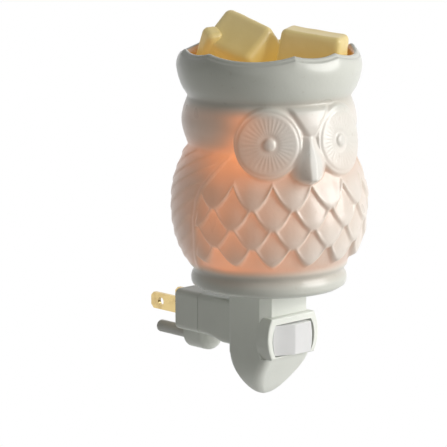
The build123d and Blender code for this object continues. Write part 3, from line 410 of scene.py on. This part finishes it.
def buildOwl():
    turns, turn, height, radius = shadeOutside()
    dip = lipDip(turns)
    sweep = np.linspace(0, np.pi, owl["lipSteps"])[1:-1]
    lipMiddle = (owl["lipInner"] + owl["lipOuter"]) / 2
    lipHalf = (owl["lipOuter"] - owl["lipInner"]) / 2
    lipRise = owl["lipTop"] - owl["lipRoot"]
    lip = np.stack([lipMiddle - lipHalf * np.cos(sweep), owl["lipRoot"] + lipRise * np.sin(sweep)], 1)
    inner = np.concatenate([np.array(owl["dish"])[1:], lip])
    under = np.array(owl["underside"])
    columns = len(turns)
    rings = [(np.full(columns, r), np.full(columns, h)) for r, h in inner]
    rings += [(radius[row], height[row]) for row in range(len(radius))]
    rings += [(np.full(columns, r), np.full(columns, h)) for r, h in under]
    ringRadius = np.array([r for r, _ in rings])
    ringHeight = np.array([h for _, h in rings])
    ringHeight = ringHeight - dip * easeStep(ringHeight, scallops["fade"], 88.5)
    angle = np.radians(turns - owl["faceTurn"])
    x = lampX + ringRadius * np.sin(angle)
    y = lampY - ringRadius * np.cos(angle)
    points = np.stack([x, y, footZ + ringHeight], -1).reshape(-1, 3)
    poles = [(lampX, lampY, footZ + owl["dish"][0][1]), (lampX, lampY, footZ + under[-1][1])]
    points = np.concatenate([points, poles])
    first, last = len(points) - 2, len(points) - 1
    faces = gridFaces(len(rings), columns)[:, ::-1].tolist()
    step = np.arange(columns)
    faces += [[first, a, (a + 1) % columns] for a in step]
    start = (len(rings) - 1) * columns
    faces += [[last, start + (a + 1) % columns, start + a] for a in step]
    # painted glow of the lamp through the wall where it is thin: in creases and between feathers,
    # and not in the band round the dish or in the foot
    outside = np.zeros(ringRadius.shape)
    rows = slice(len(inner), len(inner) + len(radius))
    thin = smoothCurve(owl["hull"], height) - radius
    lit = easeStep(height, 7.0, 11.5) * (1 - easeStep(height, 66.0, 71.5))
    discs = np.maximum(eyeDisc(turn, height, -1)[0], eyeDisc(turn, height, 1)[0])
    lit = lit * (1 - paintedLamplight["discLoss"] * discs)
    beakSide = easeStep(radius - beak["root"], 1.6, 3.2) * (np.abs(turn) < 12) * (height > 42)
    # painted light: head and belly paler where the lamp's light comes through
    body = lit.copy()
    # less painted glow on the beak's right face
    lit = lit * (1 - 0.6 * beakSide * easeStep(turn, -4.0, -1.0))
    around = np.exp(-(((turn - paintedLamplight["middle"]) / paintedLamplight["spread"]) ** 2))
    lit = lit * (paintedLamplight["least"] + (1 - paintedLamplight["least"]) * around)
    besideEye = np.exp(-(((turn - paintedLamplight["middle"]) / paintedLamplight["headSpread"]) ** 2))
    head = easeStep(height, 50.0, 58.0)
    lit = lit * (1 - head * (1 - paintedLamplight["headLeast"] - (1 - paintedLamplight["headLeast"]) * besideEye))
    outside[rows] = lit * np.clip(0.78 + 0.26 * thin, 0.3, 1.9)
    # painted shade: darker in the creases and on the beak's left face
    hollow = np.zeros(ringRadius.shape)
    hollow[rows] = np.clip(thin / 3.0, -0.3, 1.2) + 0.8 * beakSide * easeStep(-turn, 0.6, 3.5)
    paintedLampPale = np.zeros(ringRadius.shape)
    paintedLampPale[rows] = body
    inside = np.zeros(ringRadius.shape)
    inside[: len(inner)] = (np.arange(len(inner)) < len(inner) - owl["dishEnd"])[:, None]
    values = {}
    for key, grid in (("glow", outside), ("body", paintedLampPale), ("hollow", hollow), ("dish", inside)):
        values[key] = np.concatenate([grid.ravel(), [1.0 if key == "dish" else 0.0, 0.0]])
    return makeMesh("owlShade", points, faces, values)


owlShade = buildOwl()
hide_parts("owl_shade")
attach(owlShade, "shade")
print("owl shade made,", len(owlShade.data.polygons), "faces")


# Wax melts: soft-edged cast blocks, placed as the heap stands in the dish

heap = {
    "turn": 44.0,  # degrees from the switch to the side that the heap faces
    "floor": 66.2,  # of the dish, above the foot
    "draft": 3.0,  # degrees
    "clear": 29.0,  # radius of the lip's inside, less a little
    "lipTop": 103.9,
}

melts = {
    # size; place to the right, away and up from the dish's floor; lean, roll and yaw; edge radius
    "wax_melt_tall": ((24.1, 19.0, 17.0), (-9.6, 3.8, 22.9), (41.7, -37.2, -16.1), 3.2),
    "wax_melt_slab": ((24.9, 14.0, 16.5), (16.0, -5.5, 21.5), (85.4, -18.8, 6.2), 2.4),
    "wax_melt_small": ((8.6, 9.0, 18.0), (-22.0, 4.0, 21.8), (62.0, 24.0, 10.0), 3.0),
    "wax_melt_back": ((11.0, 9.0, 13.2), (8.0, 15.0, 17.5), (90.0, 45.0, 0.0), 1.4),
    "wax_melt_low_left": ((17.0, 17.0, 10.4), (-9.2, 0.0, 5.5), (-90.0, 0.0, 0.0), 1.3),
    "wax_melt_low_right": ((17.0, 17.0, 10.4), (9.2, 0.0, 5.5), (-90.0, 0.0, 0.0), 1.3),
}


def blockGrid(cells):
    # the six sides of a cube from -1 to 1, as points and quads, with more lines near the edges
    line = np.sin(np.linspace(-1, 1, cells + 1) * np.pi / 2)
    u, v = np.meshgrid(line, line, indexing="ij")
    flat = np.ones_like(u)
    sides = [(flat, u, v), (-flat, v, u), (v, flat, u), (u, -flat, v), (u, v, flat), (v, u, -flat)]
    points = np.concatenate([np.stack(side, -1).reshape(-1, 3) for side in sides])
    row, column = np.meshgrid(np.arange(cells), np.arange(cells), indexing="ij")
    quad = np.stack([row, row + 1, row + 1, row], -1) * (cells + 1)
    quad = quad + np.stack([column, column, column + 1, column + 1], -1)
    quads = np.concatenate([quad.reshape(-1, 4) + side * (cells + 1) ** 2 for side in range(6)])
    keys, index = np.unique(np.round(points, 6), axis=0, return_inverse=True)
    return keys, index.ravel()[quads]


def ripple(points, seed, scale):
    # gentle unevenness: a sum of slow waves in set directions
    made = np.random.default_rng(seed)
    total = np.zeros(len(points))
    for _ in range(7):
        direction = made.normal(size=3)
        along = points @ (direction / np.linalg.norm(direction)) / scale
        total += np.sin(along * made.uniform(0.6, 1.7) + made.uniform(0, 6.28))
    return total / 7


def buildMelt(name, melt, seed):
    # a cube pulled to size, narrowed towards its front, with round edges and a sunk front
    cube, quads = blockGrid(26)
    size, place, angles, edge = melt
    half = np.array(size) / 2
    points = cube * half
    inner = np.clip(points, edge - half, half - edge)
    out = points - inner
    length = np.linalg.norm(out, axis=1, keepdims=True)
    points = inner + edge * out / np.maximum(length, 1e-9)
    narrow = np.tan(np.radians(heap["draft"])) * (points[:, 2:] + half[2])
    points[:, :2] *= 1 - narrow / half[:2]
    sunk = np.prod(1 - np.clip(np.abs(points[:, :2]) / (half[:2] - 1.2), 0, 1) ** 4, axis=1)
    points[:, 2] -= 0.55 * sunk * (points[:, 2] > 0)
    normal = out / np.maximum(length, 1e-9)
    wear = 0.12 + 0.14 * ripple(points, seed, 2.6) + 0.12 * ripple(points, seed + 9, 1.1)
    points -= normal * wear[:, None]
    lean, roll, yaw = (np.radians(value) for value in angles)
    turned = Matrix.Rotation(-lean, 3, "X") @ Matrix.Rotation(yaw, 3, "Y")
    turned = turned @ Matrix.Rotation(roll, 3, "Z")
    facing = np.radians(heap["turn"])
    right = np.array([np.cos(facing), -np.sin(facing), 0.0])
    away = np.array([np.sin(facing), np.cos(facing), 0.0])
    base = np.stack([right, (0.0, 0.0, 1.0), -away], 1)
    middle = place[0] * right + place[1] * away + np.array([0, 0, place[2]])
    points = points @ (base @ np.array(turned)).T + middle
    across = np.hypot(points[:, 0], points[:, 1])
    heightNow = footZ + heap["floor"] + points[:, 2]
    limit = heap["clear"] + 8 * easeStep(heightNow, heap["lipTop"] - 0.2, heap["lipTop"] + 1.6)
    points[:, :2] *= np.minimum(1, limit / across)[:, None]
    points += np.array([lampX, lampY, footZ + heap["floor"]])
    made = makeMesh("soft_" + name, points, quads)
    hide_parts(name)
    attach(made, "wax")
    return made


waxPieces = [buildMelt(name, melt, seed + 3) for seed, (name, melt) in enumerate(melts.items())]
print("wax melts made,", len(waxPieces))


# Finishes

glaze = {
    "color": (0.66, 0.67, 0.62),
    "lampPaleColor": (0.76, 0.75, 0.71),  # head and belly painted paler than the band and the foot, where the lamp's light comes through
    "underGlowColor": (0.54, 0.52, 0.47),  # darker base where the painted glow is, as less light comes back where the wall lets it through
    "paintedShadeColor": (0.50, 0.42, 0.35),  # painted shade, darker in the creases and on the beak's left face
    # colours and strength of the painted lamp glow
    "glowThin": (0.98, 0.27, 0.055),
    "glowThick": (0.80, 0.27, 0.085),
    "glowStrength": 0.7,
    "roughness": 0.3,
    "poolColor": (0.50, 0.27, 0.07),  # the dish's inside, under a film of warm wax
}
waxLook = {
    "color": (0.57, 0.475, 0.225),
    "deep": (0.50, 0.36, 0.05),
    "streak": (0.50, 0.42, 0.17),
    # glow and through are painted light: the lamp's glow low down and light through the wax higher up
    "glow": (0.46, 0.29, 0.025),
    "through": (0.36, 0.275, 0.12),  # painted light through the wax, high up
    "glowLow": 86.0,  # height in millimetres under which the painted lamp glow is full
    "glowHigh": 114.0,
}


def glazeFinish():
    # glossy glaze over a thin body, with painted lamp glow, painted paler tone and painted shade
    coat = {"Coat Weight": 0.15, "Coat Roughness": 0.14}
    made = Finish("glazedShade", glaze["color"], glaze["roughness"], **coat)
    cloud = made.noise(38, 3)
    speck = made.noise(420, 2)
    # painted shade in the creases and on the beak's left face
    hollow = made.painted("hollow").ease(0.1, 1.1)
    # the painted lamp glow, made patchy
    glow = made.painted("glow") * (made.noise(34, 3) * 1.1 + 0.45)
    # painted light: paler where the lamp's light comes through
    tone = made.mix(made.painted("body"), (*glaze["color"], 1), (*glaze["lampPaleColor"], 1))
    # darker base under the painted glow
    tone = made.mix(glow.ease(0.1, 0.8), tone, (*glaze["underGlowColor"], 1))
    tone = made.mix(hollow * 0.62, tone, (*glaze["paintedShadeColor"], 1))
    tone = made.mix(cloud.ease(0.35, 0.7) * 0.10, tone, (0.56, 0.57, 0.50, 1))
    tone = made.mix(made.painted("dish") * 0.9, tone, (*glaze["poolColor"], 1))
    made.set("Base Color", made.mix(speck.ease(0.66, 0.74) * 0.2, tone, (0.50, 0.46, 0.38, 1)))
    made.set("Roughness", made.noise(55, 2) * 0.14 + (glaze["roughness"] - 0.07))
    # colour of the painted glow, more saturated where it is strong
    warmth = made.mix(glow.ease(0.3, 1.2), (*glaze["glowThick"], 1), (*glaze["glowThin"], 1))
    amount = made.ramp(glow * 0.55, ((0, (0, 0, 0)), (1, (1, 1, 1))))
    shine = made.mix(1.0, warmth, amount, "MULTIPLY")
    # the dish's inside gets a warm painted glow as well
    made.set("Emission Color", made.mix(made.painted("dish") * 0.35, shine, (0.55, 0.22, 0.03, 1)))
    made.set("Emission Strength", glaze["glowStrength"])
    made.bump(made.noise(150, 3) * 0.6 + made.noise(620, 2) * 0.25, 0.00018)
    return made.material


def waxFinish():
    # cast wax: cloudy, soft sheen, darker amber lower down, and a painted lamp glow
    made = Finish("wax", waxLook["color"], 0.42, **{"Coat Weight": 0.12, "Coat Roughness": 0.3})
    height = made.axis("Z")
    low = 1 - height.ease(waxLook["glowLow"] * mm, waxLook["glowHigh"] * mm)
    cloud = made.noise(95, 4)
    cloudy = made.noise(58, 5)
    tone = made.mix(low * 0.85, (*waxLook["color"], 1), (*waxLook["deep"], 1))
    tone = made.mix(cloudy.ease(0.42, 0.62) * 0.35, tone, (*waxLook["streak"], 1))
    made.set("Base Color", made.mix(cloud.ease(0.35, 0.75) * 0.18, tone, (0.74, 0.66, 0.42, 1)))
    made.set("Roughness", made.noise(140, 3) * 0.3 + 0.28)
    # painted glow: the lamp's light low down, light through the wax higher up
    made.set("Emission Color", made.mix(low * 0.8, (*waxLook["through"], 1), (*waxLook["glow"], 1)))
    made.set("Emission Strength", 0.62)
    made.bump(made.noise(120, 3) * 0.7 + made.noise(700, 2) * 0.08, 0.0003)
    return made.material


def plasticFinish(name, color, roughness, grain, depth, **fixed):
    # moulded plastic: faint cloudiness, a fine spark-eroded grain, and slightly uneven gloss
    made = Finish(name, color, roughness, **fixed)
    darker = tuple(part * 0.93 for part in color)
    cloud = made.noise(60, 3).ease(0.35, 0.7) * 0.5
    made.set("Base Color", made.mix(cloud, (*color, 1), (*darker, 1)))
    made.set("Roughness", made.noise(grain / 8, 2) * 0.16 + (roughness - 0.08))
    made.bump(made.noise(grain, 2), depth)
    return made.material


def metalFinish(name, color, roughness, stretch, tarnish, amount):
    # drawn or rolled metal: fine lines along it, and cloudy tarnish
    made = Finish(name, color, roughness, Metallic=1.0)
    dull = made.noise(240, 4).ease(0.42, 0.72) * amount
    made.set("Base Color", made.mix(dull, (*color, 1), (*tarnish, 1)))
    lines = made.noise(900, 3, stretch)
    made.set("Roughness", lines * 0.22 + (roughness - 0.11))
    made.bump(lines, 0.00003)
    return made.material


def glassFinish():
    # clear bulb glass, a little smoky in patches where the lamp has aged
    made = Finish("lampGlass", (0.97, 0.98, 0.98), 0.02, **{"Transmission Weight": 1.0, "IOR": 1.5})
    made.set("Roughness", made.noise(180, 2) * 0.03 + 0.01)
    smoke = made.noise(70, 3).ease(0.4, 0.8) * 0.2
    made.set("Base Color", made.mix(smoke, (0.97, 0.98, 0.98, 1), (0.86, 0.85, 0.82, 1)))
    return made.material


def filamentFinish():
    # coiled wire at working heat, its colour uneven along the coil
    made = Finish("filament", (0.5, 0.4, 0.3), 0.5, Metallic=1.0)
    heat = made.noise(700, 2).ease(0.3, 0.7)
    made.set("Emission Color", made.mix(heat, (1.0, 0.42, 0.12, 1), (1.0, 0.72, 0.36, 1)))
    made.set("Emission Strength", 6.0)
    return made.material


whitePlastic = plasticFinish("whitePlastic", (0.86, 0.88, 0.83), 0.36, 1500, 0.00004)
shiny = {"Coat Weight": 0.3}
switchPlastic = plasticFinish("switchPlastic", (0.82, 0.82, 0.83), 0.2, 600, 0.00001, **shiny)
swivelPlastic = plasticFinish("swivelPlastic", (0.70, 0.70, 0.67), 0.45, 1100, 0.00004)
holderPlastic = plasticFinish("holderPlastic", (0.64, 0.62, 0.56), 0.55, 800, 0.00006)
pinPlastic = plasticFinish("pinPlastic", (0.70, 0.70, 0.67), 0.4, 1200, 0.00004)
blackCover = plasticFinish("blackCover", (0.025, 0.025, 0.027), 0.42, 900, 0.00003)
whiteCover = plasticFinish("whiteCover", (0.78, 0.78, 0.75), 0.42, 900, 0.00003)
brass = metalFinish("brass", (0.78, 0.60, 0.28), 0.3, (1.0, 0.06, 1.0), (0.42, 0.28, 0.13), 0.45)
steel = metalFinish("steel", (0.62, 0.62, 0.63), 0.34, (1.0, 1.0, 0.08), (0.40, 0.39, 0.36), 0.4)
nickel = metalFinish("nickel", (0.72, 0.70, 0.66), 0.26, (1.0, 1.0, 0.1), (0.50, 0.45, 0.38), 0.3)
solder = metalFinish("solder", (0.50, 0.50, 0.51), 0.42, (1.0, 1.0, 1.0), (0.26, 0.25, 0.24), 0.6)
lampGlass = glassFinish()
filament = filamentFinish()

finishes = {
    "white_plastic": whitePlastic,
    "switch_plastic": switchPlastic,
    "swivel_plastic": swivelPlastic,
    "holder_plastic": holderPlastic,
    "pin_plastic": pinPlastic,
    "brass": brass,
    "steel": steel,
    "nickel": nickel,
    "lamp_tip": solder,
    "lamp_glass": lampGlass,
    "filament": filament,
    "live_wire": blackCover,
    "neutral_wire": whiteCover,
    "lamp_wire": blackCover,
}
owlShade.data.materials.append(glazeFinish())
waxMaterial = waxFinish()
for piece in waxPieces:
    piece.data.materials.append(waxMaterial)
for part in frame["record"]["subparts"]:
    finish = finishes.get(part["material_slot"])
    if finish is None:
        continue
    for holder in nodes[part["node"]].material_slots:
        holder.material = finish
print("finishes made,", len(bpy.data.materials))


# Floor, world, lights and camera

view = {
    "azimuth": -44.14,
    "elevation": 10.87,
    "distance": 1.04584,
    "right": 0.02086,
    "up": 0.02781,
    "focal": 2707.57,  # in pixels of a square picture
    "picture": 447,
    "middle": (249.1, 231.26),  # the pixel that the camera points at
}
lighting = {
    "world": (0.062, 0.064, 0.054),
    # way to the light: right, towards the camera and up
    "key": {
        "way": (0.93, 0.31, 0.26), "away": 1.15, "size": 0.9,
        "power": 13.6, "color": (1.0, 0.99, 0.97),
    },
    "fill": {
        "way": (-0.25, 0.9, 0.2), "away": 1.5, "size": 1.2,
        "power": 1.4, "color": (1.0, 1.0, 0.94),
    },
}
floor = {"height": -0.35, "hole": 0.02, "reach": 6.0, "rings": 24, "rays": 64}


def viewAxes():
    azimuth, elevation = np.radians(view["azimuth"]), np.radians(view["elevation"])
    level = np.cos(elevation)
    back = Vector((np.sin(azimuth) * level, -np.cos(azimuth) * level, np.sin(elevation)))
    right = Vector((np.cos(azimuth), np.sin(azimuth), 0))
    return right, back.cross(right), back


def addCamera():
    right, up, back = viewAxes()
    data = bpy.data.cameras.new("camera")
    data.lens = data.sensor_width * view["focal"] / view["picture"]
    data.clip_start = 0.05
    data.shift_x = -(view["middle"][0] / view["picture"] - 0.5)
    data.shift_y = view["middle"][1] / view["picture"] - 0.5
    camera = bpy.data.objects.new("camera", data)
    turned = Matrix((right, up, back)).transposed().to_4x4()
    turned.translation = back * view["distance"] + right * view["right"] + up * view["up"]
    camera.matrix_world = turned
    scene.collection.objects.link(camera)
    scene.camera = camera


def addLight(name, light):
    right, up, back = viewAxes()
    target = Vector((lampX, lampY, 60)) * mm
    way = right * light["way"][0] + back * light["way"][1] + up * light["way"][2]
    data = bpy.data.lights.new(name, "AREA")
    data.shape = "DISK"
    data.size = light["size"]
    data.energy = light["power"]
    data.color = light["color"]
    lamp = bpy.data.objects.new(name, data)
    turned = way.to_track_quat("Z", "Y").to_matrix().to_4x4()
    turned.translation = target + way.normalized() * light["away"]
    lamp.matrix_world = turned
    scene.collection.objects.link(lamp)


def whiteRays(made):
    # 1 for rays that come straight from the camera, by reflection or through glass
    seen = made.node("ShaderNodeLightPath", out="Is Camera Ray")
    mirrored = made.node("ShaderNodeLightPath", out="Is Glossy Ray")
    through = made.node("ShaderNodeLightPath", out="Is Transmission Ray")
    return seen.join("MAXIMUM", mirrored).join("MAXIMUM", through)


def addWorld():
    world = bpy.data.worlds.new("world")
    world.use_nodes = True
    scene.world = world
    made = Finish.__new__(Finish)
    made.tree = world.node_tree
    sky = made.tree.nodes["Background"]
    made.link(sky.inputs["Color"], made.mix(whiteRays(made), (*lighting["world"], 1), (1, 1, 1, 1)))


def addFloor():
    # a wide disc: rings and rays of a polar grid around the point under the lamp
    out = np.linspace(floor["hole"], floor["reach"], floor["rings"])
    around = np.linspace(0, 2 * np.pi, floor["rays"], endpoint=False)
    radii, turns = np.meshgrid(out, around, indexing="ij")
    x, y = radii * np.cos(turns), radii * np.sin(turns) + lampY * mm
    flat = np.full(radii.size, floor["height"])
    points = np.stack([x.ravel(), y.ravel(), flat], -1) / mm
    faces = gridFaces(floor["rings"], floor["rays"]).tolist() + [list(range(floor["rays"]))]
    ground = makeMesh("floor", points, faces)
    made = Finish("floor", (0.88, 0.88, 0.87), 0.9)
    cloud = made.noise(3, 3) * 0.1
    made.set("Base Color", made.mix(cloud, (0.88, 0.88, 0.87, 1), (0.8, 0.8, 0.79, 1)))
    glow = made.node("ShaderNodeEmission", {}, {"Color": (1, 1, 1, 1), "Strength": 1.0})
    far = made.node("ShaderNodeVectorMath", {"operation": "LENGTH"}, (made.place(),), out="Value")
    share = whiteRays(made) * (far.ease(0.4, 1.0) * 0.3 + 0.7)
    plain = Value(made, made.shader.outputs[0])
    both = made.node("ShaderNodeMixShader", {}, (share, plain, glow))
    made.link(made.tree.nodes["Material Output"].inputs["Surface"], both)
    ground.data.materials.append(made.material)


addFloor()
addWorld()
addLight("key", lighting["key"])
addLight("fill", lighting["fill"])
addCamera()
scene.view_settings.view_transform = "Standard"
print("floor, lights and camera set")
